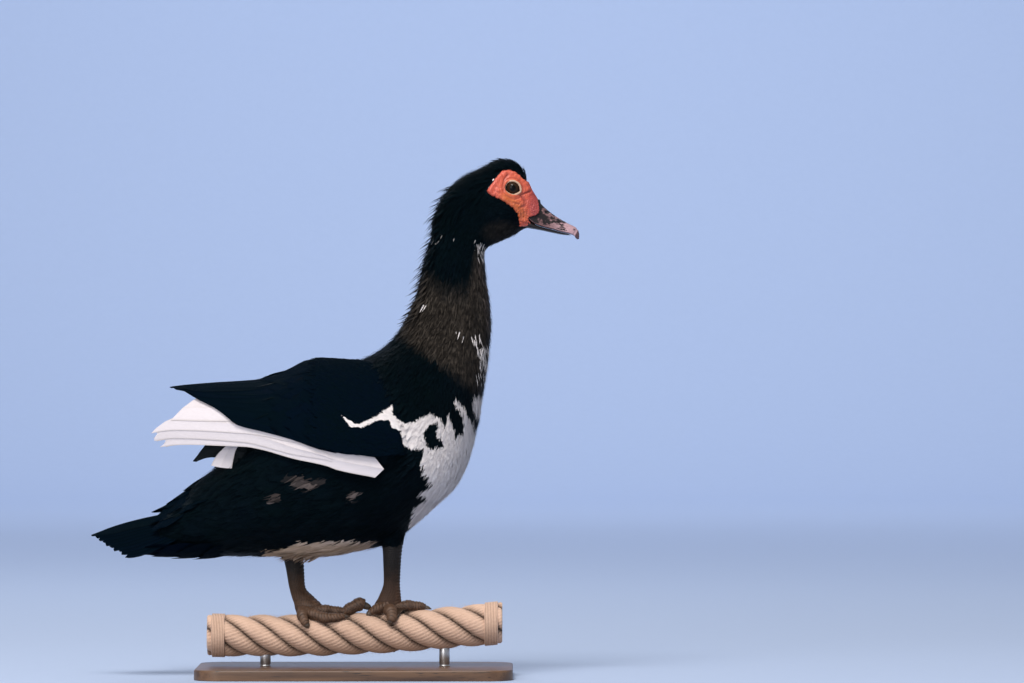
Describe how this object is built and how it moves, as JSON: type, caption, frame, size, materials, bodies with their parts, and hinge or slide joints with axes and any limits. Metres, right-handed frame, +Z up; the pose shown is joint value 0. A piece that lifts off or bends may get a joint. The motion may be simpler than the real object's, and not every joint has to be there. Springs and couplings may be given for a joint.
{
  "type": "muscovy duck",
  "caption": "Still, life-size female muscovy duck standing on a short length of thick rope held by a plain display stand.",
  "frame": {"origin": "middle of the underside of the stand's base", "axes": "+X the way the bird faces, +Z up, -Y the side of the bird's right wing"},
  "size_m": [0.4616, 0.1719, 0.4905],
  "materials": {
    "black_feathers": "glossy black plumage with a green and blue sheen",
    "neck_feathers": "dull brown-black plumage with white flecks",
    "body_feathers": "black plumage with a white breast and belly",
    "white_feathers": "warm white flight feathers, matte",
    "bare_face": "bare coral red skin with small bulbs",
    "bill": "satin horn, black at the base and pink towards the tip",
    "eye": "wet dark brown",
    "leg_skin": "scaled olive-brown skin",
    "rope": "laid natural fibre, matte",
    "stand_wood": "satin oiled dark wood",
    "stand_metal": "satin"
  },
  "bodies": {
    "root": {"stand_base": "stand_wood", "stand_rod_rear": "stand_metal", "stand_rod_front": "stand_metal", "perch_rope": "rope", "bill_upper": "bill", "bill_lower": "bill", "face": "bare_face", "head": "black_feathers", "eye_right": "eye", "eye_left": "eye", "neck_upper": "neck_feathers", "neck_lower": "neck_feathers", "torso": "body_feathers", "rump": "black_feathers", "tail": "black_feathers", "wing_right": "black_feathers", "wing_left": "black_feathers", "flight_feathers_right": "white_feathers", "flight_feathers_left": "white_feathers", "thigh_right": "black_feathers", "thigh_left": "black_feathers", "shank_right": "leg_skin", "shank_left": "leg_skin", "foot_right": "leg_skin", "foot_left": "leg_skin"}
  },
  "joints": []
}
